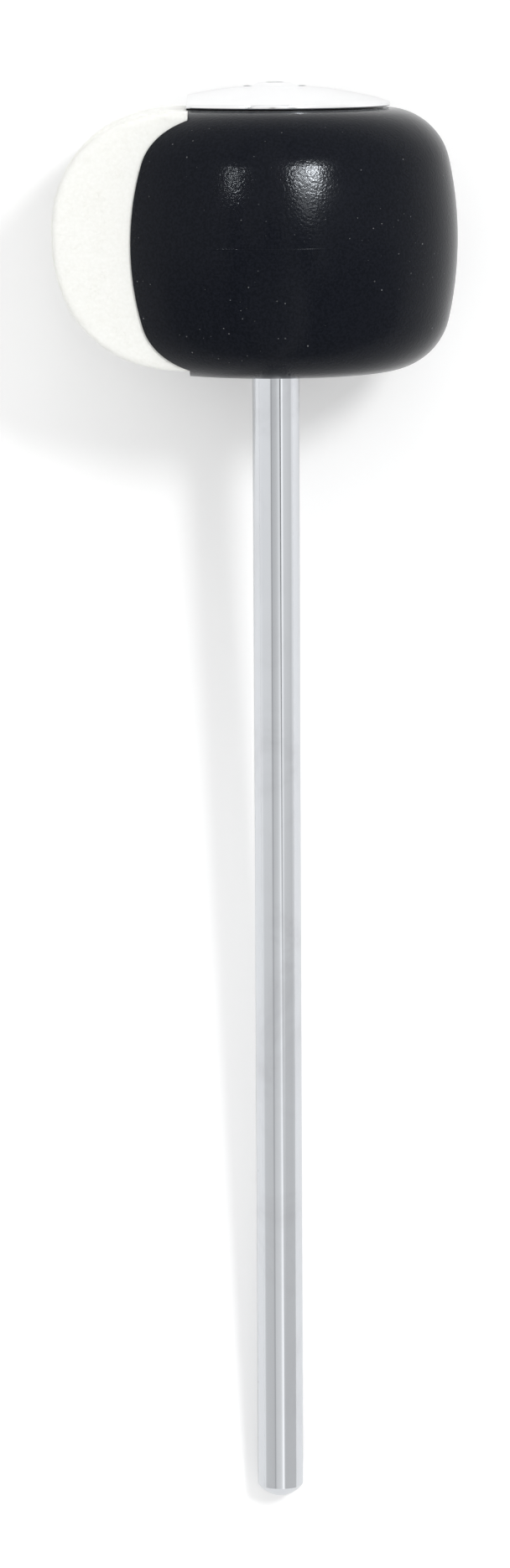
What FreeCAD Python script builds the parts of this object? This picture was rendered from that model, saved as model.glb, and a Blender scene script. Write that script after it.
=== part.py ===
"""A two-faced bass drum beater: a felt block and a hard barrel head on a clamped round shaft.

The shaft stands along +Z with the head at its top. The origin is on the shaft's axis, at the lower end of
its straight wall, and the felt faces -X. The head turns on the shaft once the top screw is slackened.
"""
import FreeCAD, Part
import math
import os

# Shaft
shaft_d = 8.0
shaft_tip_rise = 2.2
shaft_exposed = 196.65
shaft_top_gap = 0.8
shaft_top_chamfer = 0.5
tap_gap = 0.05
tap_end_gap = 2.7

# Retaining ring and its groove
clip_d = 14.0
clip_inner_d = 10.4
clip_thickness = 0.9
clip_mouth_w = 6.0
clip_lobe_w = 3.2
clip_recess = 1.2
clip_grip_gap = 0.05
groove_d = 7.0
groove_side_gap = 0.05

# Base washer, which sits in a well under the head
washer_d = 17.0
washer_thickness = 1.2
washer_bore_gap = 0.1
well_gap = 1.0

# Core bush
bush_d = 12.0
running_gap = 0.05

# Head body: a barrel with a slot for the felt
head_d = 61.8
head_h = 44.15
head_side_arc_r = 62.0
head_corner_r = 11.0
cheek_thickness = 12.0
slot_depth = 16.5
slot_lip_r = 0.3

# Felt block
felt_inset = 1.25
felt_straight = 1.7
felt_edge_r = 2.0
felt_gap = 0.1

# Top cap
cap_d = 39.0
cap_foot_inset = 1.2
cap_foot_h = 0.3
cap_edge_h = 0.75
cap_edge_chamfer = 0.15
cap_edge_r = 0.5
cap_dome_rise = 2.8
cap_floor = 0.7
cap_overhang = 0.4
cap_recess_gap = 0.3
cap_bore_gap = 0.25
peg_d = 3.0
peg_h = 3.5
peg_gap = 0.1
peg_x = 6.0
peg_y = 11.0

# Lock washer
lock_d = 10.0
lock_band_d = 7.4
lock_bore_d = 5.3
lock_thickness = 0.6
lock_tooth_w = 1.1
lock_teeth = 8

# Cap screw
screw_d = 5.0
screw_pitch = 0.8
screw_thread_depth = 0.45
screw_length = 14.0
screw_head_d = 9.5
screw_head_h = 2.95
screw_head_top_d = 5.4
screw_head_rim_h = 0.35
screw_head_bulge_share = 0.15
socket_across_flats = 3.0
socket_depth = 1.6

# How far a cutting tool runs past the surface that it cuts, and how near an edge counts as on a plane
overrun = 1.0
edge_tolerance = 0.02

# Places worked out from the sizes above
shaft_r = shaft_d / 2
head_bottom = shaft_exposed
head_top = head_bottom + head_h
head_mid = head_bottom + head_h / 2
groove_bottom = head_bottom + clip_recess
clip_bottom = groove_bottom + groove_side_gap
washer_bottom = clip_bottom + clip_thickness
well_top = washer_bottom + washer_thickness
well_d = washer_d + 2 * well_gap
shaft_top = head_top - shaft_top_gap
lock_bottom = head_top + cap_floor
screw_seat = lock_bottom + lock_thickness
tap_d = screw_d + 2 * tap_gap
tap_bottom = screw_seat - screw_length - tap_end_gap
slot_w = head_d - 2 * cheek_thickness
slot_back = head_d / 2 - slot_depth
cap_flat = slot_back + cap_overhang
felt_r = head_h / 2 - felt_inset

UP = FreeCAD.Vector(0, 0, 1)


def point(x, z):
    """A point of an outline in the XZ plane."""
    return FreeCAD.Vector(x, 0, z)


def line(start, end):
    return Part.LineSegment(point(*start), point(*end)).toShape()


def arc(start, middle, end):
    return Part.Arc(point(*start), point(*middle), point(*end)).toShape()


def turned(edges):
    """The solid that a closed outline of edges sweeps in one turn about Z."""
    face = Part.Face(Part.Wire(edges))
    return face.revolve(FreeCAD.Vector(), UP, 360)


def polyline(points):
    return [line(a, b) for a, b in zip(points, points[1:])]


def rod(diameter, bottom, top, x=0, y=0):
    return Part.makeCylinder(diameter / 2, top - bottom, FreeCAD.Vector(x, y, bottom))


def ring(outer_d, inner_d, bottom, thickness):
    hole = rod(inner_d, bottom - overrun, bottom + thickness + overrun)
    return rod(outer_d, bottom, bottom + thickness).cut(hole)


def bar(length, width, bottom, height):
    """A bar from the Z axis along +X, centred on the X axis."""
    return Part.makeBox(length, width, height, FreeCAD.Vector(0, -width / 2, bottom))


def turned_about_z(shape, degrees):
    copy = shape.copy()
    copy.rotate(FreeCAD.Vector(), UP, degrees)
    return copy


def make_shaft():
    """The rod: rounded tip, straight wall, clip groove and a tapped hole in its top end."""
    tip_ball_r = (shaft_r ** 2 + shaft_tip_rise ** 2) / (2 * shaft_tip_rise)
    half_angle = math.asin(shaft_r / tip_ball_r) / 2
    tip_middle = (tip_ball_r * math.sin(half_angle),
                  tip_ball_r * (1 - math.cos(half_angle)) - shaft_tip_rise)
    groove_top = clip_bottom + clip_thickness + groove_side_gap
    wall = [
        (shaft_r, 0),
        (shaft_r, groove_bottom),
        (groove_d / 2, groove_bottom),
        (groove_d / 2, groove_top),
        (shaft_r, groove_top),
        (shaft_r, shaft_top - shaft_top_chamfer),
        (shaft_r - shaft_top_chamfer, shaft_top),
        (0, shaft_top),
        (0, -shaft_tip_rise),
    ]
    tip = arc((0, -shaft_tip_rise), tip_middle, (shaft_r, 0))
    solid = turned([tip, *polyline(wall)])
    return solid.cut(rod(tap_d, tap_bottom, shaft_top + overrun))


def make_retaining_ring():
    """An E-shaped clip: an open band with three lobes that grip the groove."""
    band = ring(clip_d, clip_inner_d, clip_bottom, clip_thickness)
    middle = (clip_d + clip_inner_d) / 4
    lobe = bar(middle, clip_lobe_w, clip_bottom, clip_thickness)
    for side in (1, 2, 3):
        band = band.fuse(turned_about_z(lobe, side * 90))
    grip = rod(groove_d + 2 * clip_grip_gap, clip_bottom - overrun, washer_bottom + overrun)
    mouth = bar(clip_d, clip_mouth_w, clip_bottom - overrun, clip_thickness + 2 * overrun)
    return band.cut(grip).cut(mouth).removeSplitter()


def make_base_washer():
    return ring(washer_d, shaft_d + 2 * washer_bore_gap, washer_bottom, washer_thickness)


def make_core_bush():
    return ring(bush_d, shaft_d + 2 * running_gap, well_top, head_top - well_top)


def make_barrel():
    """The head's round form: a bowed side that runs into rounded corners and flat ends."""
    half = head_h / 2
    side_x = head_d / 2 - head_side_arc_r
    corner_z = half - head_corner_r
    corner_x = side_x + math.sqrt((head_side_arc_r - head_corner_r) ** 2 - corner_z ** 2)
    meet = math.atan2(corner_z, corner_x - side_x)
    turn = (meet + math.pi / 2) / 2
    meet_x = side_x + head_side_arc_r * math.cos(meet)
    meet_z = head_side_arc_r * math.sin(meet)
    turn_x = corner_x + head_corner_r * math.cos(turn)
    turn_z = corner_z + head_corner_r * math.sin(turn)
    outline = [
        line((0, head_bottom), (corner_x, head_bottom)),
        arc((corner_x, head_bottom), (turn_x, head_mid - turn_z), (meet_x, head_mid - meet_z)),
        arc((meet_x, head_mid - meet_z), (head_d / 2, head_mid), (meet_x, head_mid + meet_z)),
        arc((meet_x, head_mid + meet_z), (turn_x, head_mid + turn_z), (corner_x, head_top)),
        line((corner_x, head_top), (0, head_top)),
        line((0, head_top), (0, head_bottom)),
    ]
    return turned(outline)


def slot_lip_edges(body):
    """The curved edges where the slot's two side walls come out through the barrel."""
    wall = slot_w / 2
    found = []
    for edge in body.Edges:
        box = edge.BoundBox
        on_wall = box.YLength < edge_tolerance and abs(abs(box.YMin) - wall) < edge_tolerance
        if on_wall and box.XMin < -slot_back - edge_tolerance:
            found.append(edge)
    return found


def make_head_body():
    """The black body: the barrel less the slot, the bush's bore, the washer's well and the peg holes."""
    height = head_h + 2 * overrun
    slot = Part.makeBox(head_d, slot_w, height,
                        FreeCAD.Vector(-slot_back - head_d, -slot_w / 2, head_bottom - overrun))
    body = make_barrel().cut(slot)
    body = body.makeFillet(slot_lip_r, slot_lip_edges(body))
    body = body.cut(rod(bush_d, head_bottom - overrun, head_top + overrun))
    body = body.cut(rod(well_d, head_bottom - overrun, well_top))
    for side in (-1, 1):
        hole = rod(peg_d + 2 * peg_gap, head_top - peg_h - peg_gap, head_top + overrun, peg_x, side * peg_y)
        body = body.cut(hole)
    return body


def make_felt_block():
    """The felt: a half-round block with softened edges, as wide as the slot."""
    back = -slot_back - felt_gap
    centre = back - felt_straight
    front = centre - felt_r
    low = head_mid - felt_r
    high = head_mid + felt_r
    outline = Part.Wire([
        line((back, low), (centre, low)),
        arc((centre, low), (front, head_mid), (centre, high)),
        line((centre, high), (back, high)),
        line((back, high), (back, low)),
    ])
    width = slot_w - 2 * felt_gap
    block = Part.Face(outline).extrude(FreeCAD.Vector(0, width, 0))
    block.translate(FreeCAD.Vector(0, -width / 2, 0))
    rim = [edge for edge in block.Edges
           if edge.BoundBox.YLength < edge_tolerance and edge.BoundBox.XMin < back - edge_tolerance]
    return block.makeFillet(felt_edge_r, rim)


def make_top_cap():
    """The domed cap: a foot, a round-shouldered edge, the screw's recess, one straight side and two pegs."""
    cap_r = cap_d / 2
    bore_r = screw_d / 2 + cap_bore_gap
    recess_r = lock_d / 2 + cap_recess_gap
    dome_r = (cap_r ** 2 + cap_dome_rise ** 2) / (2 * cap_dome_rise)
    edge_bottom = head_top + cap_foot_h
    crown = edge_bottom + cap_edge_h + cap_dome_rise
    dome_centre_z = crown - dome_r

    def dome_z(radius):
        return dome_centre_z + math.sqrt(dome_r ** 2 - radius ** 2)

    shoulder_r = cap_r - cap_edge_r
    shoulder_z = dome_centre_z + math.sqrt((dome_r - cap_edge_r) ** 2 - shoulder_r ** 2)
    meet = math.atan2(shoulder_z - dome_centre_z, shoulder_r)
    meet_r = dome_r * math.cos(meet)
    shoulder_middle = (shoulder_r + cap_edge_r * math.cos(meet / 2),
                       shoulder_z + cap_edge_r * math.sin(meet / 2))
    middle_r = (meet_r + recess_r) / 2
    wall = [
        (recess_r, dome_z(recess_r)),
        (recess_r, lock_bottom),
        (bore_r, lock_bottom),
        (bore_r, head_top),
        (cap_r - cap_foot_inset, head_top),
        (cap_r - cap_foot_inset, edge_bottom),
        (cap_r - cap_edge_chamfer, edge_bottom),
        (cap_r, edge_bottom + cap_edge_chamfer),
        (cap_r, shoulder_z),
    ]
    shoulder = arc((cap_r, shoulder_z), shoulder_middle, (meet_r, dome_z(meet_r)))
    dome = arc((meet_r, dome_z(meet_r)), (middle_r, dome_z(middle_r)), (recess_r, dome_z(recess_r)))
    cap = turned([*polyline(wall), shoulder, dome])
    past_flat = Part.makeBox(cap_d, 2 * cap_d, crown - head_top + 2 * overrun,
                             FreeCAD.Vector(-cap_flat - cap_d, -cap_d, head_top - overrun))
    cap = cap.cut(past_flat)
    for side in (-1, 1):
        cap = cap.fuse(rod(peg_d, head_top - peg_h, lock_bottom, peg_x, side * peg_y))
    return cap.removeSplitter()


def make_lock_washer():
    """A flat washer with a ring of teeth on its inside."""
    washer = ring(lock_d, lock_band_d, lock_bottom, lock_thickness)
    tooth = bar((lock_d + lock_band_d) / 4, lock_tooth_w, lock_bottom, lock_thickness)
    for place in range(lock_teeth):
        washer = washer.fuse(turned_about_z(tooth, place * 360 / lock_teeth))
    return washer.cut(rod(lock_bore_d, lock_bottom - overrun, screw_seat + overrun)).removeSplitter()


def make_cap_screw():
    """A low round-headed screw: its thread is a row of rings, and its socket is a hexagon."""
    crest = screw_d / 2
    root = crest - screw_thread_depth
    turns = int(screw_length / screw_pitch) - 1
    plain = screw_length - turns * screw_pitch
    stem = [(0, screw_seat - screw_length), (root, screw_seat - screw_length)]
    for turn in range(turns):
        low = screw_seat - screw_length + turn * screw_pitch
        stem += [(crest, low + screw_pitch / 2), (root, low + screw_pitch)]
    stem += [(crest, screw_seat - plain + screw_thread_depth), (crest, screw_seat)]

    head_r = screw_head_d / 2
    top_r = screw_head_top_d / 2
    rim_z = screw_seat + screw_head_rim_h
    top_z = screw_seat + screw_head_h
    stem += [(head_r, screw_seat), (head_r, rim_z)]
    bulge = (screw_head_h - screw_head_rim_h) * screw_head_bulge_share
    middle = ((head_r + top_r) / 2 + bulge, (rim_z + top_z) / 2 + bulge)
    round_top = arc((head_r, rim_z), middle, (top_r, top_z))
    close = polyline([(top_r, top_z), (0, top_z), (0, screw_seat - screw_length)])
    screw = turned([*polyline(stem), round_top, *close])

    corner_r = socket_across_flats / math.sqrt(3)
    corners = [FreeCAD.Vector(corner_r * math.cos(a), corner_r * math.sin(a), top_z - socket_depth)
               for a in [side * math.pi / 3 for side in range(7)]]
    socket = Part.Face(Part.makePolygon(corners))
    return screw.cut(socket.extrude(UP * (socket_depth + overrun)))


PIECES = {
    "shaft": make_shaft,
    "retaining_ring": make_retaining_ring,
    "base_washer": make_base_washer,
    "core_bush": make_core_bush,
    "head_body": make_head_body,
    "felt_block": make_felt_block,
    "top_cap": make_top_cap,
    "lock_washer": make_lock_washer,
    "cap_screw": make_cap_screw,
}

os.makedirs("parts", exist_ok=True)
for name, make in PIECES.items():
    shape = make()
    box = shape.BoundBox
    print(f"{name}: {len(shape.Solids)} solid, valid {shape.isValid()}, {shape.Volume:.1f} mm3, "
          f"z {box.ZMin:.2f} to {box.ZMax:.2f}")
    shape.exportStep(f"parts/{name}.step")
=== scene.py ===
# %% [markdown]
# # Dressing a two-faced bass drum beater
# A beater is the hammer of a bass drum pedal. This one has a black moulded head with a block of white
# felt let into one side, a bright domed cap and a plated steel shaft. Its solid pieces are already
# modelled at their real size. This lesson loads them as a fixed frame and gives them their looks: the
# camera, the light, the felt's woolly surface and a finish for each material. The frame itself is never
# moved.

# %% Load the solid pieces
import math
import random

import bmesh
import bpy
import numpy as np
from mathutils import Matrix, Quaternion, Vector, noise


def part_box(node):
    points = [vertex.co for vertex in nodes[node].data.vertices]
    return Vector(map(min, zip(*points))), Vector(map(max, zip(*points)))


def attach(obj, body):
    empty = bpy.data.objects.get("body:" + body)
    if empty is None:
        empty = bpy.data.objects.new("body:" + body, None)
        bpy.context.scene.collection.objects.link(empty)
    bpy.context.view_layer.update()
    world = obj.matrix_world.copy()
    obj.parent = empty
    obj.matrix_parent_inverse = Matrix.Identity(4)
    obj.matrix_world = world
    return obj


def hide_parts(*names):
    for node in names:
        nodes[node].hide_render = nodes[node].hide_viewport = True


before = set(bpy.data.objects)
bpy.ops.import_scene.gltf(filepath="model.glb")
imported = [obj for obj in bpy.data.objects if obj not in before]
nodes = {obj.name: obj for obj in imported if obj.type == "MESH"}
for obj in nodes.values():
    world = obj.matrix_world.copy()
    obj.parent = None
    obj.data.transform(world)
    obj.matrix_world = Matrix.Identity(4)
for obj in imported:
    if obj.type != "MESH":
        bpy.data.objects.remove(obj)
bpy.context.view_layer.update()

MM = 0.001
print("pieces:", ", ".join(sorted(nodes)))

# %% [markdown]
# ## The camera
# The beater lies on a white table and the camera looks down on it, leaning a little from the cap's end.
# In the part's own frame the shaft runs along Z, so "down on the table" is along +Y. The shaft is 56
# pixels wide under the head and 54 at its tip. That small taper gives the distance, and the ellipse of
# the cap's rim gives the height.

# %% Place the camera
PHOTO_HEIGHT_PX = 1870
FOCAL_PX = 5958
SENSOR_MM = 36.0
CAMERA_ROLL = math.radians(-0.29)
camera_place = Vector((-3.9, -850.0, 268.0)) * MM
camera_aim = Vector((-3.9, 0.0, 125.1)) * MM

scene = bpy.context.scene
scene.view_settings.view_transform = "Standard"
camera = bpy.data.objects.new("camera", bpy.data.cameras.new("camera"))
scene.collection.objects.link(camera)
scene.camera = camera
camera.data.sensor_width = SENSOR_MM
camera.data.lens = SENSOR_MM * FOCAL_PX / PHOTO_HEIGHT_PX
camera.location = camera_place
camera.rotation_mode = "QUATERNION"
looking = (camera_aim - camera_place).to_track_quat("-Z", "Y")
camera.rotation_quaternion = looking @ Quaternion((0, 0, 1), CAMERA_ROLL)
print("lens in mm:", round(camera.data.lens, 1))

# %% [markdown]
# ## Small helpers for shader nodes
# Node trees are easier to read when one call makes a node, sets its sockets and returns it. A socket is
# given either a plain value or the output of another node, and the helper sorts out which is which.

# %% Node helpers
# The numbers of a Mix node's colour sockets, which share their names with its other sockets
MIX_SHARE = 0
MIX_FIRST = 6
MIX_SECOND = 7
MIX_RESULT = 2


def feed(tree, socket, value):
    """Links another node's output to a socket, or sets the socket's own value."""
    if isinstance(value, bpy.types.NodeSocket):
        tree.links.new(value, socket)
    else:
        socket.default_value = value


def add_node(tree, kind, settings=None, **sockets):
    """Adds a node, applies its settings and feeds its sockets.

    A socket is given by its name, with _ for a space, or by n and its number."""
    made = tree.nodes.new(kind)
    for key, value in (settings or {}).items():
        setattr(made, key, value)
    for key, value in sockets.items():
        numbered = key[0] == "n" and key[1:].isdigit()
        feed(tree, made.inputs[int(key[1:]) if numbered else key.replace("_", " ")], value)
    return made


def maths(tree, operation, *values):
    """A Math node's result; each value is a number or another node's output."""
    sockets = {f"n{place}": value for place, value in enumerate(values)}
    return add_node(tree, "ShaderNodeMath", {"operation": operation}, **sockets).outputs[0]


def remap(tree, value, low, high, to_low=0.0, to_high=1.0):
    """A value eased from one range into another."""
    made = add_node(tree, "ShaderNodeMapRange", {"interpolation_type": "SMOOTHSTEP"}, Value=value,
                    From_Min=low, From_Max=high, To_Min=to_low, To_Max=to_high)
    return made.outputs[0]


def mix_colour(tree, share, first, second):
    """Two colours mixed by a share; each is a colour or another node's output."""
    made = add_node(tree, "ShaderNodeMix", {"data_type": "RGBA"})
    for number, value in ((MIX_SHARE, share), (MIX_FIRST, first), (MIX_SECOND, second)):
        feed(tree, made.inputs[number], value)
    return made.outputs[MIX_RESULT]


def add_noise(tree, vector, per_m, detail, **sockets):
    """The height of a soft noise over a vector, with so many features to the metre."""
    made = add_node(tree, "ShaderNodeTexNoise", Vector=vector, Scale=per_m, Detail=detail, **sockets)
    return made.outputs[0]


def rgb(red, green, blue):
    return (red, green, blue, 1.0)


def grey(level):
    return rgb(level, level, level)


print("helpers ready")

# %% [markdown]
# ## Starting a material
# Every finish here starts in the same way: an empty material, the place on the piece as a vector, and its
# height along the shaft. It ends in the same way too, with one Principled shader and a bump.


# %% Material helpers
def empty_material(name):
    """A material with nothing but its output node."""
    made = bpy.data.materials.new(name)
    made.use_nodes = True
    made.node_tree.nodes.clear()
    return made, made.node_tree, made.node_tree.nodes.new("ShaderNodeOutputMaterial")


def own_place(tree):
    """The place on the piece, in metres."""
    return tree.nodes.new("ShaderNodeTexCoord").outputs["Object"]


def height_of(tree, vector):
    return add_node(tree, "ShaderNodeSeparateXYZ", Vector=vector).outputs["Z"]


def stretch(tree, vector, scale):
    """The place vector scaled along X, Y and Z, to stretch a pattern."""
    made = add_node(tree, "ShaderNodeVectorMath", {"operation": "MULTIPLY"}, n0=vector, n1=scale)
    return made.outputs[0]


def add_surface(tree, output, relief, bump_strength, bump_depth, **sockets):
    """A Principled shader with a bump from a relief, joined to the material's output."""
    bump = add_node(tree, "ShaderNodeBump", Height=relief, Strength=bump_strength, Distance=bump_depth)
    shader = add_node(tree, "ShaderNodeBsdfPrincipled", Normal=bump.outputs[0], **sockets)
    tree.links.new(shader.outputs[0], output.inputs[0])


def ray_kinds(tree):
    """Whether a ray comes from the camera, and whether it comes from a mirror or through glass."""
    rays = tree.nodes.new("ShaderNodeLightPath").outputs
    mirror_or_glass = maths(tree, "MAXIMUM", rays["Is Glossy Ray"], rays["Is Transmission Ray"])
    return rays["Is Camera Ray"], mirror_or_glass


def dress(names, material):
    """Gives solid pieces their material."""
    for name in names:
        nodes[name].data.materials.clear()
        nodes[name].data.materials.append(material)
    print(material.name, "on", ", ".join(names))


print("material helpers ready")

# %% [markdown]
# ## The studio
# Chrome has no look of its own: it shows the room. A photographer stands white and grey cards round a
# bright rod so that it shows calm bands and not the whole studio. Here the cards are painted on the world
# by compass direction, and only mirror and glass rays see them. At eye level and above the room is white
# but for two dark posts, and straight in front hangs the dark spot that a camera leaves in every mirror.
# Everything else is lit by an even white sky, and the camera sees plain white.

# %% Describe the cards
SKY_LEVEL = 0.77
# Heights are the Z of a direction of length 1: the rings of cards blend from one height to the other
CARDS_HIGH_Z = -0.07
CARDS_LOW_Z = -0.30
LEVEL_FROM_Z = -0.06
LEVEL_Z = -0.02
SPOT_LEVEL = 0.02
SPOT_COMPASS = -2.4
SPOT_HALF_WIDTH = 3.5
SPOT_Z = 0.03
SPOT_HALF_HEIGHT = 0.07
SPOT_SOFTNESS = 0.6
# Each card: compass angle in degrees from the camera, positive to the right, and its brightness
CARDS_HIGH = [
    (-180, 1.0), (-120, 1.0), (-100, 0.95), (-32, 0.92), (-27, 0.74), (-25, 0.20), (-23, 0.56), (0, 0.68),
    (13, 0.90), (16, 0.86), (18, 0.08), (21.5, 0.08), (23.5, 1.25), (30, 1.25), (33, 0.84), (60, 0.76),
    (74, 0.72), (84, 1.0),
]
CARDS_LEVEL = [
    (-180, 1.0), (-29, 1.0), (-25, 0.15), (-22, 1.0), (13, 1.0), (16, 0.10), (19, 1.0),
]
CARDS_LOW = [
    (-180, 1.0), (-84, 1.0), (-74, 0.68), (-30, 0.63), (-25, 0.44), (-20, 0.74), (4, 0.84), (10, 1.0),
    (13, 1.3), (19, 1.3), (22, 0.66), (27, 0.62), (88, 0.64), (98, 1.0),
]


def card_ring(tree, compass, cards):
    """A ring of cards as a colour ramp over the compass angle."""
    made = add_node(tree, "ShaderNodeValToRGB", Fac=compass)
    stops = made.color_ramp.elements
    while len(stops) < len(cards):
        stops.new(1.0)
    for stop, (degrees, level) in zip(stops, cards):
        stop.position = (degrees + 180) / 360
        stop.color = grey(level)
    return made.outputs[0]


def spot_share(tree, value, middle, half_size):
    """1 near the middle of the camera's spot along one direction, falling to 0 past its edge."""
    off = maths(tree, "ABSOLUTE", maths(tree, "SUBTRACT", value, middle))
    return remap(tree, off, half_size * SPOT_SOFTNESS, half_size, 1.0, 0.0)


print("cards in three rings:", len(CARDS_HIGH), len(CARDS_LEVEL), len(CARDS_LOW))

# %% [markdown]
# The world's direction gives the compass angle and the height. The three rings are mixed by height, the
# camera's spot is laid over them, and the kind of ray chooses between cards, sky and plain white.

# %% Paint the sky
world = bpy.data.worlds.new("studio")
scene.world = world
world.use_nodes = True
sky = world.node_tree
sky.nodes.clear()
outward = sky.nodes.new("ShaderNodeTexCoord").outputs["Generated"]
direction = add_node(sky, "ShaderNodeSeparateXYZ", Vector=outward).outputs
toward_camera = maths(sky, "MULTIPLY", direction["Y"], -1.0)
angle = maths(sky, "ARCTAN2", direction["X"], toward_camera)
compass = maths(sky, "MULTIPLY_ADD", angle, 1 / math.tau, 0.5)
lowness = remap(sky, direction["Z"], CARDS_HIGH_Z, CARDS_LOW_Z)
height = remap(sky, direction["Z"], LEVEL_FROM_Z, LEVEL_Z)
high_ring, level_ring, low_ring = [
    card_ring(sky, compass, cards) for cards in (CARDS_HIGH, CARDS_LEVEL, CARDS_LOW)
]
room = mix_colour(sky, height, mix_colour(sky, lowness, high_ring, low_ring), level_ring)
across = spot_share(sky, angle, math.radians(SPOT_COMPASS), math.radians(SPOT_HALF_WIDTH))
upward = spot_share(sky, direction["Z"], SPOT_Z, SPOT_HALF_HEIGHT)
room = mix_colour(sky, maths(sky, "MULTIPLY", across, upward), room, grey(SPOT_LEVEL))
from_camera, from_mirror = ray_kinds(sky)
seen = mix_colour(sky, from_mirror, grey(SKY_LEVEL), room)
seen = mix_colour(sky, from_camera, seen, grey(1))
background = add_node(sky, "ShaderNodeBackground", Color=seen)
sky.links.new(background.outputs[0], sky.nodes.new("ShaderNodeOutputWorld").inputs[0])
print("sky level:", SKY_LEVEL)

# %% [markdown]
# ## The lamps
# The marks on the black head and the slant of the shadow say where the lamps were. Twice the turn of the
# surface under a mark gives its lamp's bearing and rise. The broad mark is made by two lamps side by side,
# about 20 degrees to the right and beyond the head, with a wide weak one under them for its tail. The
# small mark is made by a lamp to the left. One soft lamp lights the matt surfaces and casts the shadow, a
# weak one beyond the head fills the felt's top, and the others show only as marks on glossy surfaces.

# %% Hang the lamps
LAMP_DISTANCE = 1.3
COOL_WHITE = (0.90, 0.95, 1.0)
PLAIN_WHITE = (1, 1, 1)
lamp_aim = Vector((0, -0.03, 0.23))


def hang_lamp(name, bearing, rise, size, watts, gloss):
    """A round lamp at a bearing from the camera's side and a rise above the head, both in degrees.

    A gloss lamp shows only in reflections, and the other kind only lights matt surfaces."""
    data = bpy.data.lights.new(name, "AREA")
    data.shape = "DISK"
    data.size = size
    data.energy = watts
    data.color = COOL_WHITE if gloss else PLAIN_WHITE
    lamp = bpy.data.objects.new(name, data)
    scene.collection.objects.link(lamp)
    turn = math.radians(bearing)
    lift = math.radians(rise)
    level = math.cos(lift)
    away = Vector((math.sin(turn) * level, -math.cos(turn) * level, math.sin(lift)))
    lamp.location = lamp_aim + away * LAMP_DISTANCE
    lamp.rotation_mode = "QUATERNION"
    lamp.rotation_quaternion = (-away).to_track_quat("-Z", "Y")
    lamp.visible_camera = False
    lamp.visible_diffuse = not gloss
    lamp.visible_glossy = gloss
    print(name, "at", [round(v, 2) for v in lamp.location])


hang_lamp("main_lamp", bearing=25.0, rise=20.5, size=0.26, watts=5.3, gloss=False)
hang_lamp("top_fill", bearing=0.0, rise=62.0, size=0.5, watts=1.2, gloss=False)
hang_lamp("main_mark", bearing=26.0, rise=20.8, size=0.08, watts=13.0, gloss=True)
hang_lamp("second_mark", bearing=16.5, rise=20.5, size=0.08, watts=5.0, gloss=True)
hang_lamp("tail_mark", bearing=21.0, rise=13.0, size=0.25, watts=1.5, gloss=True)
hang_lamp("left_mark", bearing=-28.0, rise=18.6, size=0.05, watts=1.7, gloss=True)

# %% [markdown]
# ## The table
# The beater rests on two points: the back of the barrel and the back of the shaft's tip. A plane through
# both is the table. It is white paper with a low glow over it for the camera, as in a bright exposure, and
# a trace of that in mirrors, so the open table is white and the object's shadow stays. From behind it is
# clear, so that the beater can be looked at from every side.

# %% Lay the table
TABLE_CLEARANCE = 0.2 * MM
TABLE_REACH = 1.6
TABLE_WHITE = 0.95
TABLE_GLOW = 0.17
TABLE_GLOW_IN_MIRRORS = 0.02

head_low, head_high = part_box("head_body")
shaft_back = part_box("shaft")[1].y
head_mid = (head_low.z + head_high.z) / 2


def table_material():
    made, tree, output = empty_material("table_white")
    from_camera, from_mirror = ray_kinds(tree)
    in_mirrors = maths(tree, "MULTIPLY", from_mirror, TABLE_GLOW_IN_MIRRORS)
    level = maths(tree, "MULTIPLY_ADD", from_camera, TABLE_GLOW, in_mirrors)
    paper = add_node(tree, "ShaderNodeBsdfDiffuse", Color=grey(TABLE_WHITE))
    glow = add_node(tree, "ShaderNodeEmission", Strength=level)
    front = add_node(tree, "ShaderNodeAddShader", n0=paper.outputs[0], n1=glow.outputs[0])
    clear = tree.nodes.new("ShaderNodeBsdfTransparent")
    behind = tree.nodes.new("ShaderNodeNewGeometry").outputs["Backfacing"]
    both = add_node(tree, "ShaderNodeMixShader", n0=behind, n1=front.outputs[0], n2=clear.outputs[0])
    tree.links.new(both.outputs[0], output.inputs[0])
    return made


def lay_table():
    """A square plane that leans on the barrel's back and on the back of the shaft's tip."""
    outline = [(v.co.y, v.co.z) for name in ("head_body", "shaft") for v in nodes[name].data.vertices]
    foot = (shaft_back, 0.0)
    lean = max(math.atan2(y - foot[0], z - foot[1]) for y, z in outline if z > head_low.z)
    along = Vector((0, math.sin(lean), math.cos(lean)))
    facing = Vector((0, -math.cos(lean), math.sin(lean)))
    middle = Vector((0, foot[0], foot[1])) + along * head_mid / 2 - facing * TABLE_CLEARANCE
    side = Vector((TABLE_REACH, 0, 0))
    up = along * TABLE_REACH
    corners = [middle - side - up, middle + side - up, middle + side + up, middle - side + up]
    mesh = bpy.data.meshes.new("table")
    mesh.from_pydata(corners, [], [(0, 1, 2, 3)])
    mesh.materials.append(table_material())
    table = bpy.data.objects.new("table", mesh)
    scene.collection.objects.link(table)
    print("table leans", round(math.degrees(lean), 2), "degrees, faces", mesh.polygons[0].normal[:])


lay_table()

# %% [markdown]
# ## Effects that several finishes share
# Grain, specks, fine scratches and finger marks turn up on plastic, felt and metal alike, at different
# sizes. Each is built once as a node group with named inputs, and each finish places it with its own
# values. Grain is a soft noise with a finer one over it. Specks lie near the points of a cell pattern,
# and only the chosen share of the cells has one.


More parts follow.
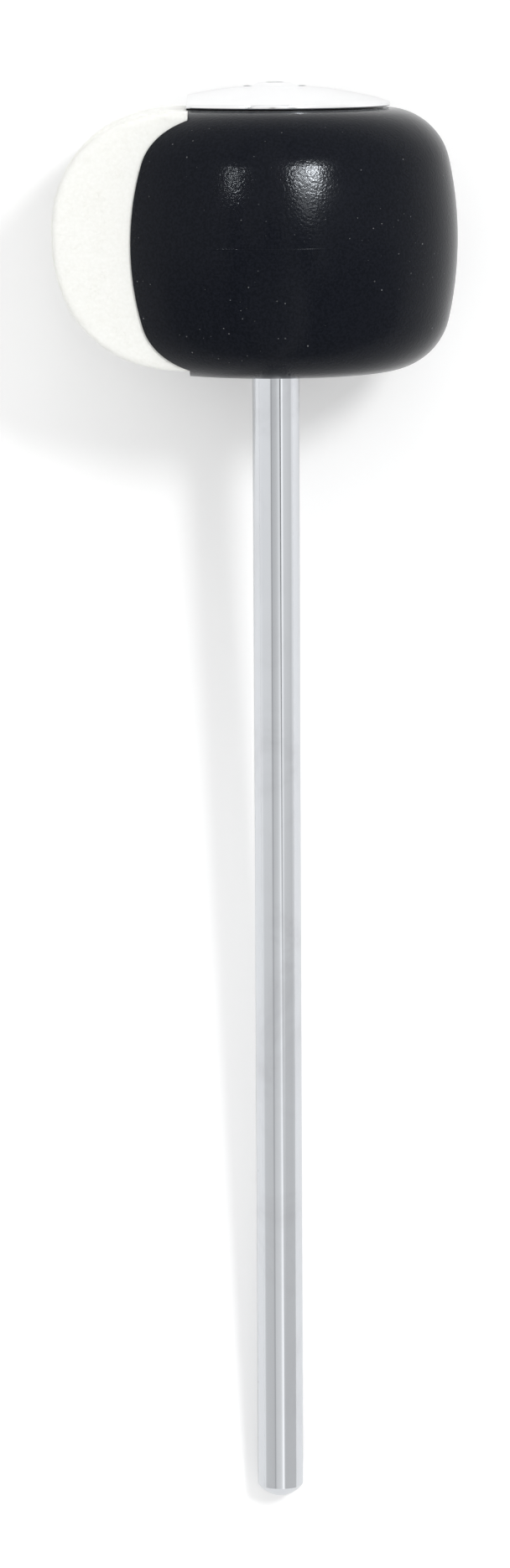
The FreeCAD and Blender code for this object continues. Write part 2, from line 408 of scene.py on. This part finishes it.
# %% Build grain and specks
def new_group(name, inputs, outputs):
    """An empty shader group; inputs maps a name to its default, or to None for a vector."""
    tree = bpy.data.node_groups.new(name, "ShaderNodeTree")
    for title, value in inputs.items():
        kind = "NodeSocketVector" if value is None else "NodeSocketFloat"
        socket = tree.interface.new_socket(title, in_out="INPUT", socket_type=kind)
        if value is not None:
            socket.default_value = value
    for title in outputs:
        tree.interface.new_socket(title, in_out="OUTPUT", socket_type="NodeSocketFloat")
    return tree, tree.nodes.new("NodeGroupInput").outputs, tree.nodes.new("NodeGroupOutput").inputs


FINE_GRAIN_TIMES = 2.7
FINE_GRAIN_SHARE = 0.25
SPECK_SMALLEST = 0.4
SPECK_SPREAD = 1.2
SPECK_FAINTEST = 0.3


def grain_group():
    """A pebbled height: soft noise at one size, with a finer one over it."""
    tree, given, result = new_group("pebble_grain", {"Place": None, "Grains per m": 2500.0}, ["Height"])
    coarse = add_noise(tree, given["Place"], given["Grains per m"], detail=1.0)
    finer = maths(tree, "MULTIPLY", given["Grains per m"], FINE_GRAIN_TIMES)
    fine = add_noise(tree, given["Place"], finer, detail=2.0)
    both = maths(tree, "MULTIPLY_ADD", fine, FINE_GRAIN_SHARE, coarse)
    tree.links.new(maths(tree, "MULTIPLY", both, 1 / (1 + FINE_GRAIN_SHARE)), result["Height"])
    return tree


def speck_group():
    """Scattered specks, strong and faint, in the chosen share of the cells of a pattern."""
    inputs = {"Place": None, "Cells per m": 300.0, "Size": 0.05, "Share": 0.3}
    tree, given, result = new_group("specks", inputs, ["Mask"])
    cells = add_node(tree, "ShaderNodeTexVoronoi", Vector=given["Place"], Scale=given["Cells per m"])
    lot = add_node(tree, "ShaderNodeSeparateColor", Color=cells.outputs["Color"]).outputs
    chosen = maths(tree, "LESS_THAN", lot[0], given["Share"])
    times = maths(tree, "MULTIPLY_ADD", lot[1], SPECK_SPREAD, SPECK_SMALLEST)
    size = maths(tree, "MULTIPLY", given["Size"], times)
    near = maths(tree, "LESS_THAN", cells.outputs["Distance"], size)
    strength = maths(tree, "MULTIPLY_ADD", lot[2], 1 - SPECK_FAINTEST, SPECK_FAINTEST)
    mask = maths(tree, "MULTIPLY", maths(tree, "MULTIPLY", chosen, near), strength)
    tree.links.new(mask, result["Mask"])
    return tree


pebble_grain = grain_group()
specks = speck_group()
print("effects:", pebble_grain.name, specks.name)

# %% [markdown]
# Scratches are the thin edges between cells, bent a little and kept only in patches. Finger marks are a
# cloudy noise that is pushed towards clear on one side and marked on the other.

# %% Build scratches and finger marks
HAIRLINE_WANDER = 1.5 * MM
HAIRLINE_PATCHES = 1.7
SMUDGE_FROM = 0.45
SMUDGE_FULL = 0.75


def hairline_group():
    """Short fine scratches: thin edges of cells, kept only in a few patches."""
    inputs = {"Place": None, "Lines per m": 200.0, "Width": 0.01, "Share": 0.4}
    tree, given, result = new_group("hairlines", inputs, ["Mask"])
    wander = add_node(tree, "ShaderNodeTexNoise", Vector=given["Place"], Scale=given["Lines per m"],
                      Detail=0.0)
    bent = add_node(tree, "ShaderNodeVectorMath", {"operation": "MULTIPLY_ADD"},
                    n0=wander.outputs["Color"], n1=[HAIRLINE_WANDER] * 3, n2=given["Place"])
    cells = add_node(tree, "ShaderNodeTexVoronoi", {"feature": "DISTANCE_TO_EDGE"},
                     Vector=bent.outputs[0], Scale=given["Lines per m"])
    line = remap(tree, cells.outputs["Distance"], 0.0, given["Width"], 1.0, 0.0)
    patches = maths(tree, "MULTIPLY", given["Lines per m"], HAIRLINE_PATCHES)
    patch = add_noise(tree, given["Place"], patches, detail=1.0)
    kept = maths(tree, "LESS_THAN", patch, given["Share"])
    tree.links.new(maths(tree, "MULTIPLY", line, kept), result["Mask"])
    return tree


def smudge_group():
    """Cloudy finger marks: a soft noise pushed towards clear and marked."""
    tree, given, result = new_group("smudges", {"Place": None, "Marks per m": 60.0}, ["Mask"])
    cloud = add_noise(tree, given["Place"], given["Marks per m"], detail=4.0, Roughness=0.6,
                      Distortion=0.8)
    tree.links.new(remap(tree, cloud, SMUDGE_FROM, SMUDGE_FULL), result["Mask"])
    return tree


hairlines = hairline_group()
smudges = smudge_group()


def place(tree, group, **values):
    """Puts a shared effect into a material and returns its output."""
    made = add_node(tree, "ShaderNodeGroup", {"node_tree": group}, **values)
    return made.outputs[0]


print("effects:", hairlines.name, smudges.name)

# %% [markdown]
# ## Black moulded plastic
# The head is a dense black moulding with a satin skin. Close up it has dust that gathers in patches, a few
# bits of lint, and the faint ridge that the two halves of the mould leave round its middle. These are made
# first, as masks. The ridge is so low that a bump shows it well enough, and it is worn away in places.

# %% Dust, lint and the mould line
DUST_PATCHES_PER_M = 75.0
DUST_PATCH = (0.40, 0.64)
DUST_SHARE = (0.05, 0.50)
DUST_CELLS_PER_M = 1000.0
DUST_SIZE = 0.085
LINT_STRETCH = (1, 1, 0.25)
LINT_CELLS_PER_M = 300.0
LINT_SIZE = 0.03
LINT_SHARE = 0.20
LINT_STRENGTH = 0.7
RIDGE_EDGE = (0.03 * MM, 0.16 * MM)
RIDGE_PATCHES_PER_M = 140.0
RIDGE_PATCH = (0.48, 0.62)


def dust_and_lint(tree, spot):
    """Pale specks that gather in patches, and a few longer bits."""
    settled = add_noise(tree, spot, DUST_PATCHES_PER_M, detail=1.0)
    share = remap(tree, settled, *DUST_PATCH, *DUST_SHARE)
    dust = place(tree, specks, Place=spot, Cells_per_m=DUST_CELLS_PER_M, Size=DUST_SIZE, Share=share)
    long_spot = stretch(tree, spot, LINT_STRETCH)
    lint = place(tree, specks, Place=long_spot, Cells_per_m=LINT_CELLS_PER_M, Size=LINT_SIZE,
                 Share=LINT_SHARE)
    return maths(tree, "MAXIMUM", dust, maths(tree, "MULTIPLY", lint, LINT_STRENGTH))


def mould_line(tree, spot, height):
    """A fine ridge round the head's middle, worn away in places."""
    from_middle = maths(tree, "ABSOLUTE", maths(tree, "SUBTRACT", height, head_mid))
    ridge = remap(tree, from_middle, *RIDGE_EDGE, 1.0, 0.0)
    worn = add_noise(tree, spot, RIDGE_PATCHES_PER_M, detail=1.0)
    return maths(tree, "MULTIPLY", ridge, remap(tree, worn, *RIDGE_PATCH))


print("mould line at mm:", round(head_mid / MM, 2))

# %% [markdown]
# The black is very dark and slightly blue, so most of what shows is the gloss, and a fine pebble breaks it
# up into sparkles. Dust and finger marks make the skin rougher. Beside the cap a thin paler grey band is
# painted along the top edge as a painted highlight.

# %% Finish the black body
BLACK_DARKEST = rgb(0.0026, 0.0038, 0.0072)
BLACK_LIGHTEST = rgb(0.0060, 0.0074, 0.0122)
BLACK_GLOSS = 0.10
BLACK_ROUGHNESS = 0.15
PEBBLES_PER_M = 2300.0
PEBBLE_TONE = (0.35, 0.65)
PEBBLE_BUMP = 1.0
PEBBLE_DEPTH = 0.036 * MM
RIDGE_RELIEF = 0.5
HEAD_SMUDGES_PER_M = 55.0
SMUDGE_TONE = 0.2
SMUDGE_ROUGHENS = 0.04
DUST_COLOUR = rgb(0.42, 0.43, 0.44)
DUST_COVER = 0.40
DUST_ROUGHENS = 0.25
# A paler grey painted along the top edge beside the cap as a highlight, and how much of it shows
EDGE_HIGHLIGHT_COLOUR = rgb(0.26, 0.27, 0.28)
EDGE_HIGHLIGHT_COVER = 0.5
# Heights over which the painted highlight comes in along the top edge
edge_highlight_from = head_high.z - 0.17 * MM
edge_highlight_full = head_high.z - 0.09 * MM


def black_plastic():
    made, tree, output = empty_material("black_plastic")
    spot = own_place(tree)
    height = height_of(tree, spot)
    pale = dust_and_lint(tree, spot)
    marks = place(tree, smudges, Place=spot, Marks_per_m=HEAD_SMUDGES_PER_M)
    grain = place(tree, pebble_grain, Place=spot, Grains_per_m=PEBBLES_PER_M)
    mottle = maths(tree, "MULTIPLY_ADD", marks, SMUDGE_TONE, remap(tree, grain, *PEBBLE_TONE))
    colour = mix_colour(tree, mottle, BLACK_DARKEST, BLACK_LIGHTEST)
    colour = mix_colour(tree, maths(tree, "MULTIPLY", pale, DUST_COVER), colour, DUST_COLOUR)
    # A paler band painted along the top edge beside the cap: a painted highlight
    edge_highlight = maths(tree, "MULTIPLY", remap(tree, height, edge_highlight_from, edge_highlight_full), EDGE_HIGHLIGHT_COVER)
    colour = mix_colour(tree, edge_highlight, colour, EDGE_HIGHLIGHT_COLOUR)
    roughness = maths(tree, "MULTIPLY_ADD", marks, SMUDGE_ROUGHENS, BLACK_ROUGHNESS)
    roughness = maths(tree, "MULTIPLY_ADD", pale, DUST_ROUGHENS, roughness)
    relief = maths(tree, "MULTIPLY_ADD", mould_line(tree, spot, height), RIDGE_RELIEF, grain)
    add_surface(tree, output, relief, PEBBLE_BUMP, PEBBLE_DEPTH, Base_Color=colour,
                Roughness=roughness, Specular_IOR_Level=BLACK_GLOSS)
    return made


dress(["head_body"], black_plastic())

# %% [markdown]
# ## Bright plating
# The shaft is a drawn rod: polishing leaves faint lines along it, and handling leaves cloudy marks. The
# cap and the screw are brighter and rounder, with the same marks at another size. A metal's colour is its
# reflection, so the base colour is the plating's own tint and the roughness does the rest. The cap's foot,
# which sits in the gap over the black body, is painted near black as the shade in that gap.

# %% Mix the plating
PLATING_SMUDGES_PER_M = 45.0
SMUDGE_DULLS = 0.55
PIT_CELLS_PER_M = 260.0
PIT_SIZE = 0.05
PIT_SHARE = 0.10
PIT_RELIEF = -0.5
SCRATCHES_PER_M = 160.0
SCRATCH_WIDTH = 0.010
SCRATCH_SHARE = 0.42
STREAK_ROUGHENS = 0.05
FINGER_ROUGHENS = 0.06
SCRATCH_ROUGHENS = 0.10
PLATING_BUMP = 0.05
PLATING_DEPTH = 0.02 * MM
# Near black painted on the cap's foot as the shade in the gap over the black body
GAP_SHADE_BLACK = rgb(0.010, 0.010, 0.011)


def bright_plating(name, tint, dull_tint, stretched, base_roughness, lines_per_m, shade_below=None):
    """Polished plating with lines that follow the polish, cloudy marks and a few pits.

    Below the height shade_below the metal is painted near black, a painted shade, as on the cap's foot in
    its gap."""
    made, tree, output = empty_material(name)
    spot = own_place(tree)
    along = stretch(tree, spot, stretched)
    drawn = add_noise(tree, along, lines_per_m, detail=3.0)
    marks = place(tree, smudges, Place=spot, Marks_per_m=PLATING_SMUDGES_PER_M)
    pits = place(tree, specks, Place=spot, Cells_per_m=PIT_CELLS_PER_M, Size=PIT_SIZE, Share=PIT_SHARE)
    scratch = place(tree, hairlines, Place=along, Lines_per_m=SCRATCHES_PER_M, Width=SCRATCH_WIDTH,
                    Share=SCRATCH_SHARE)
    dulled = maths(tree, "MAXIMUM", maths(tree, "MULTIPLY", marks, SMUDGE_DULLS), pits)
    colour = mix_colour(tree, dulled, tint, dull_tint)
    if shade_below is not None:
        # Below that height the metal is painted near black as painted shade
        gap_shade = maths(tree, "LESS_THAN", height_of(tree, spot), shade_below)
        colour = mix_colour(tree, gap_shade, colour, GAP_SHADE_BLACK)
    roughness = maths(tree, "MULTIPLY_ADD", drawn, STREAK_ROUGHENS, base_roughness)
    roughness = maths(tree, "MULTIPLY_ADD", marks, FINGER_ROUGHENS, roughness)
    roughness = maths(tree, "MULTIPLY_ADD", scratch, SCRATCH_ROUGHENS, roughness)
    relief = maths(tree, "MULTIPLY_ADD", pits, PIT_RELIEF, drawn)
    add_surface(tree, output, relief, PLATING_BUMP, PLATING_DEPTH, Base_Color=colour,
                Roughness=roughness, Metallic=1.0)
    return made


print("plating ready")

# %% [markdown]
# One recipe serves three pieces. The shaft's pattern is stretched a hundred times along Z, so that its
# lines run the way it was drawn. The screw has the cap's finish without the foot's painted shade, because
# its shank reaches below that height.

# %% Plate the shaft, the cap and the screw
SHAFT_TINT = rgb(0.715, 0.735, 0.765)
SHAFT_DULL_TINT = rgb(0.55, 0.555, 0.58)
SHAFT_STRETCH = (1, 1, 0.01)
SHAFT_ROUGHNESS = 0.06
SHAFT_LINES_PER_M = 2600.0
CAP_TINT = rgb(0.942, 0.944, 0.947)
CAP_DULL_TINT = rgb(0.87, 0.87, 0.88)
CAP_STRETCH = (1, 1, 1)
CAP_ROUGHNESS = 0.08
CAP_LINES_PER_M = 500.0
# Top of the cap's foot, below which the shade of the gap is painted
cap_foot_top = head_high.z + 0.29 * MM

shaft_look = (SHAFT_TINT, SHAFT_DULL_TINT, SHAFT_STRETCH, SHAFT_ROUGHNESS, SHAFT_LINES_PER_M)
cap_look = (CAP_TINT, CAP_DULL_TINT, CAP_STRETCH, CAP_ROUGHNESS, CAP_LINES_PER_M)
dress(["shaft"], bright_plating("shaft_chrome", *shaft_look))
dress(["top_cap"], bright_plating("cap_chrome", *cap_look, shade_below=cap_foot_top))
dress(["cap_screw"], bright_plating("screw_chrome", *cap_look))

# %% [markdown]
# ## Plain steel inside the head
# The clip, the washers and the bush are hidden at rest and show only from below or when the screw is out.
# They have a turned or stamped zinc finish: rings of fine tool marks about the shaft's axis. A noise over
# the radius and the height is the same all the way round, which is what makes the rings.

# %% Finish the inner steel
TOOL_MARKS_PER_M = 6000.0
TOOL_ROUGHENS = 0.18
TOOL_BUMP = 0.15
TOOL_DEPTH = 0.02 * MM
STEEL_SMUDGES_PER_M = 130.0
STEEL_DULLED_TO = 0.72
FLATTEN = (1, 1, 0)
ZINC_TINT = rgb(0.62, 0.63, 0.65)
ZINC_ROUGHNESS = 0.22
SPRING_TINT = rgb(0.20, 0.20, 0.22)
SPRING_ROUGHNESS = 0.30


def turned_steel(name, tint, base_roughness):
    """Steel with rings of tool marks about the Z axis."""
    made, tree, output = empty_material(name)
    spot = own_place(tree)
    flat = stretch(tree, spot, FLATTEN)
    radius = add_node(tree, "ShaderNodeVectorMath", {"operation": "LENGTH"}, n0=flat).outputs["Value"]
    rings = add_node(tree, "ShaderNodeCombineXYZ", X=radius, Y=height_of(tree, spot))
    tool = add_noise(tree, rings.outputs[0], TOOL_MARKS_PER_M, detail=2.0)
    marks = place(tree, smudges, Place=spot, Marks_per_m=STEEL_SMUDGES_PER_M)
    dulled = rgb(*[STEEL_DULLED_TO * c for c in tint[:3]])
    colour = mix_colour(tree, marks, tint, dulled)
    roughness = maths(tree, "MULTIPLY_ADD", tool, TOOL_ROUGHENS, base_roughness)
    add_surface(tree, output, tool, TOOL_BUMP, TOOL_DEPTH, Base_Color=colour, Roughness=roughness,
                Metallic=1.0)
    return made


plain_steel = turned_steel("plain_steel", ZINC_TINT, ZINC_ROUGHNESS)
dress(["base_washer", "core_bush", "lock_washer"], plain_steel)
dress(["retaining_ring"], turned_steel("spring_steel", SPRING_TINT, SPRING_ROUGHNESS))

# %% [markdown]
# ## White felt
# The felt is wool pressed into a dense block, so it isn't a cushion and has no seams. The solid block is a
# plain half-round. The mesh that replaces it follows the outline measured in the photo: half of an ellipse
# with slightly filled corners, which stands about a millimetre higher at the top than the solid and is
# fullest a little above the head's middle. The black cheeks cover part of its flat sides, so first comes
# a measure of how far a point lies out in the open.

# %% Measure the felt and the barrel round it
FELT_FRONT_SWELL = 0.13 * MM
FELT_TOP_SWELL = 1.15 * MM
FELT_BELLY_RISE = 1.82 * MM
FELT_FULLNESS = 2.25
OPEN_FROM = 0.3 * MM
OPEN_TO = 3.0 * MM
SAME_HEIGHT = 0.02 * MM
HEIGHT_DECIMALS = 5

felt_low, felt_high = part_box("felt_block")
felt_r = (felt_high.z - felt_low.z) / 2
felt_half_w = (felt_high.y - felt_low.y) / 2
felt_back = felt_high.x
felt_reach = felt_back - felt_low.x + FELT_FRONT_SWELL
felt_belly_z = head_mid + FELT_BELLY_RISE
felt_rise_above = felt_high.z + FELT_TOP_SWELL - felt_belly_z
felt_drop_below = felt_belly_z - felt_low.z
felt_heart = Vector((felt_back, 0, felt_belly_z))


def barrel_profile():
    """The barrel's radius by height, read from the rear half of the head's mesh."""
    rear = [v.co for v in nodes["head_body"].data.vertices if v.co.x > 0]
    places = [(p.z, math.hypot(p.x, p.y)) for p in rear]
    outer = [(z, r) for z, r in places if r > felt_half_w / 2]
    heights = sorted({round(z, HEIGHT_DECIMALS) for z, r in outer})
    widest = [max(r for z, r in outer if abs(z - h) < SAME_HEIGHT) for h in heights]
    return np.array(heights), np.array(widest)


barrel_z, barrel_r = barrel_profile()


def openness(point):
    """0 where the black cheeks cover the felt, rising to 1 a few millimetres out in the open."""
    beyond = math.hypot(point.x, point.y) - np.interp(point.z, barrel_z, barrel_r)
    share = min(1.0, max(0.0, (beyond - OPEN_FROM) / (OPEN_TO - OPEN_FROM)))
    return share * share * (3 - 2 * share)


def felt_outline(step):
    """Points round the felt's outline in the XZ plane, from its lower back corner to its upper one."""
    count = round(math.pi * felt_r / step)
    points = []
    for number in range(count + 1):
        turn = math.pi * (number / count - 0.5)
        out = felt_reach * abs(math.cos(turn)) ** (2 / FELT_FULLNESS)
        up = abs(math.sin(turn)) ** (2 / FELT_FULLNESS)
        lift = felt_rise_above * up if turn > 0 else -felt_drop_below * up
        points.append(felt_heart + Vector((-out, 0, lift)))
    return points


print("felt reaches out mm:", round(felt_reach / MM, 2), "widest barrel mm:", round(max(barrel_r) / MM, 2))

# %% [markdown]
# The block is made of rings: from the middle of one flat side out to its rim, over the rounded rim, across
# the front, and back to the middle of the other side. Each ring repeats the outline, so the mesh is an even
# grid, fine enough to be roughened. Where it is out in the open, noise makes it lumpy at a few millimetres
# and matted below one.

# %% Shape the felt block
FELT_STEP = 0.55 * MM
FELT_EDGE_R = 1.0 * MM
FELT_LUMP = 0.05 * MM
FELT_MAT = 0.05 * MM
LUMPS_PER_M = 330
MATS_PER_M = 1150
mat_shift = Vector((7, 3, 1))


def felt_rings(step):
    """Rings from the middle of one flat side, over its rim and across the front, to the other side.

    Each ring is a place across the felt, an inset from the outline, and a share of its reach."""
    side_steps = round((felt_r - FELT_EDGE_R) / step)
    rim_steps = round(FELT_EDGE_R * math.pi / 2 / step)
    band = felt_half_w - FELT_EDGE_R
    band_steps = round(2 * band / step)
    near = [(-felt_half_w, FELT_EDGE_R, share / side_steps) for share in range(1, side_steps)]
    for number in range(rim_steps + 1):
        turn = math.pi / 2 * number / rim_steps
        near.append((-band - FELT_EDGE_R * math.cos(turn), FELT_EDGE_R * (1 - math.sin(turn)), 1.0))
    across = [(-band + 2 * band * number / band_steps, 0.0, 1.0) for number in range(1, band_steps)]
    return near + across + [(-y, inset, share) for y, inset, share in reversed(near)]


def woolly(point):
    """How far the wool stands in or out of the plain form at a point."""
    lump = noise.noise(point * LUMPS_PER_M) * FELT_LUMP
    mat = noise.noise(point * MATS_PER_M + mat_shift) * FELT_MAT
    return lump + mat


def felt_grid(mesh):
    """The felt's rings of points, and the middle point of each flat side."""
    outline = felt_outline(FELT_STEP)
    rings = []
    for y, inset, share in felt_rings(FELT_STEP):
        ring = []
        for point in outline:
            reach = point - felt_heart
            size = (reach.length - inset) * share
            ring.append(mesh.verts.new(felt_heart + reach.normalized() * size + Vector((0, y, 0))))
        rings.append(ring)
    ends = [mesh.verts.new(felt_heart + Vector((0, side * felt_half_w, 0))) for side in (-1, 1)]
    return rings, ends


def make_felt():
    mesh = bmesh.new()
    rings, ends = felt_grid(mesh)
    last = len(rings[0]) - 1
    for ring, following in zip(rings, rings[1:]):
        for number in range(last):
            mesh.faces.new((ring[number], ring[number + 1], following[number + 1], following[number]))
    for number in range(last):
        mesh.faces.new((ends[0], rings[0][number + 1], rings[0][number]))
        mesh.faces.new((ends[1], rings[-1][number], rings[-1][number + 1]))
    lower = [ring[0] for ring in rings]
    upper = [ring[last] for ring in rings]
    mesh.faces.new([ends[0], *lower, ends[1], *reversed(upper)])
    bmesh.ops.recalc_face_normals(mesh, faces=mesh.faces)
    mesh.normal_update()
    moves = [(v, v.normal.copy(), openness(v.co)) for v in mesh.verts]
    for vert, normal, share in moves:
        vert.co += normal * woolly(vert.co) * share
    data = bpy.data.meshes.new("felt_pad")
    mesh.to_mesh(data)
    mesh.free()
    data.polygons.foreach_set("use_smooth", [True] * len(data.polygons))
    felt = bpy.data.objects.new("felt_pad", data)
    scene.collection.objects.link(felt)
    return felt


felt_pad = make_felt()
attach(felt_pad, "head")
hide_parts("felt_block")
print("felt faces:", len(felt_pad.data.polygons))

# %% [markdown]
# ## Loose fibres
# What makes felt read as felt at its outline is the haze of single fibres. Each is a thin three-sided
# thread that leaves the surface, arches over it and ends in the air or on the wool again. A fixed seed
# keeps them the same on every run, and none starts where a cheek would cut it.

# %% Scatter the fibres
FIBRE_SEED = 11
FIBRE_COUNT = 4200
FIBRE_R = 0.017 * MM
FIBRE_LENGTH = (0.8 * MM, 2.2 * MM)
FIBRE_LIFT = (0.10 * MM, 0.42 * MM)
FIBRE_SWING = 0.5
FIBRE_ARCH = 0.8
FIBRE_TAPER = 0.5
FIBRE_RINGS = 5
FIBRE_SIDES = 3
OPEN_ENOUGH = 0.5


def fibre_roots(felt, count, draw):
    """Random places on the felt's open surface, as (point, normal), spread by area."""
    faces = [p for p in felt.data.polygons if openness(p.center) > OPEN_ENOUGH]
    weights = [p.area for p in faces]
    picked = draw.choices(faces, weights, k=count)
    roots = []
    for face in picked:
        corners = [felt.data.vertices[i].co for i in face.vertices]
        shares = [draw.random() for _ in corners]
        total = sum(shares)
        point = sum((c * s / total for c, s in zip(corners, shares)), Vector())
        roots.append((point, face.normal.copy()))
    return roots


def fibre_points(root, normal, draw):
    """The corners of one fibre, ring by ring from its root to its tip."""
    spin = Vector((draw.gauss(0, 1), draw.gauss(0, 1), draw.gauss(0, 1)))
    heading = normal.cross(spin).normalized()
    swing = normal.cross(heading) * draw.uniform(-FIBRE_SWING, FIBRE_SWING)
    length = draw.uniform(*FIBRE_LENGTH)
    lift = draw.uniform(*FIBRE_LIFT)
    across = heading.cross(normal)
    points = []
    for ring in range(FIBRE_RINGS):
        share = ring / (FIBRE_RINGS - 1)
        rise = lift * math.sin(math.pi * (share * FIBRE_ARCH)) - FIBRE_R
        middle = root + heading * length * share + swing * length * share * share + normal * rise
        thin = FIBRE_R * (1.0 - FIBRE_TAPER * share)
        for corner in range(FIBRE_SIDES):
            turn = math.tau * corner / FIBRE_SIDES
            points.append(middle + normal * thin * math.cos(turn) + across * thin * math.sin(turn))
    return points


def fibre_faces(first):
    """The sides and ends of one fibre whose points start at a number."""
    faces = []
    for ring in range(FIBRE_RINGS - 1):
        base = first + ring * FIBRE_SIDES
        above = base + FIBRE_SIDES
        for corner in range(FIBRE_SIDES):
            after = (corner + 1) % FIBRE_SIDES
            faces.append((base + corner, base + after, above + after, above + corner))
    tip = first + (FIBRE_RINGS - 1) * FIBRE_SIDES
    faces.append((first, first + 2, first + 1))
    faces.append((tip, tip + 1, tip + 2))
    return faces


def make_fibres(felt):
    draw = random.Random(FIBRE_SEED)
    points = []
    faces = []
    for root, normal in fibre_roots(felt, FIBRE_COUNT, draw):
        faces.extend(fibre_faces(len(points)))
        points.extend(fibre_points(root, normal, draw))
    data = bpy.data.meshes.new("felt_fibres")
    data.from_pydata(points, [], faces)
    made = bpy.data.objects.new("felt_fibres", data)
    scene.collection.objects.link(made)
    return made


felt_fibres = make_fibres(felt_pad)
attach(felt_fibres, "head")
print("fibres:", FIBRE_COUNT, "faces:", len(felt_fibres.data.polygons))

# %% [markdown]
# ## The felt's colour
# Wool felt is a warm white, never quite even: denser spots are a touch greyer, and a stray dark hair or a
# bit of straw gets pressed in. It has almost no gloss, only a soft sheen at its edges.

# %% Finish the felt
WOOL_GREYER = rgb(0.930, 0.932, 0.895)
WOOL_WHITER = rgb(0.965, 0.967, 0.935)
WOOL_CLOUDS_PER_M = 1600.0
WOOL_CLOUD = (0.35, 0.70)
STRAW_COLOUR = rgb(0.42, 0.37, 0.30)
STRAW_CELLS_PER_M = 260.0
STRAW_SIZE = 0.03
STRAW_SHARE = 0.16
STRAW_COVER = 0.45
WOOL_GRAINS_PER_M = 2600.0
WOOL_BUMP = 0.6
WOOL_DEPTH = 0.08 * MM
WOOL_ROUGHNESS = 0.95
WOOL_GLOSS = 0.15
WOOL_SHEEN = 0.15


def white_felt():
    made, tree, output = empty_material("white_felt")
    spot = own_place(tree)
    cloud = add_noise(tree, spot, WOOL_CLOUDS_PER_M, detail=3.0, Roughness=0.6)
    colour = mix_colour(tree, remap(tree, cloud, *WOOL_CLOUD), WOOL_GREYER, WOOL_WHITER)
    straw = place(tree, specks, Place=spot, Cells_per_m=STRAW_CELLS_PER_M, Size=STRAW_SIZE,
                  Share=STRAW_SHARE)
    colour = mix_colour(tree, maths(tree, "MULTIPLY", straw, STRAW_COVER), colour, STRAW_COLOUR)
    matted = place(tree, pebble_grain, Place=spot, Grains_per_m=WOOL_GRAINS_PER_M)
    add_surface(tree, output, matted, WOOL_BUMP, WOOL_DEPTH, Base_Color=colour,
                Roughness=WOOL_ROUGHNESS, Specular_IOR_Level=WOOL_GLOSS, Sheen_Weight=WOOL_SHEEN)
    return made


felt_finish = white_felt()
felt_pad.data.materials.append(felt_finish)
felt_fibres.data.materials.append(felt_finish)
print("felt finished")

# %% [markdown]
# The solid pieces come as fine flat facets. Smooth shading rounds them for the eye, and edges sharper than
# a set angle stay crisp.

# %% Smooth the solids
SHARP_ANGLE = math.radians(28)
for solid in nodes.values():
    solid.data.polygons.foreach_set("use_smooth", [True] * len(solid.data.polygons))
    solid.data.set_sharp_from_angle(angle=SHARP_ANGLE)

bpy.context.view_layer.update()
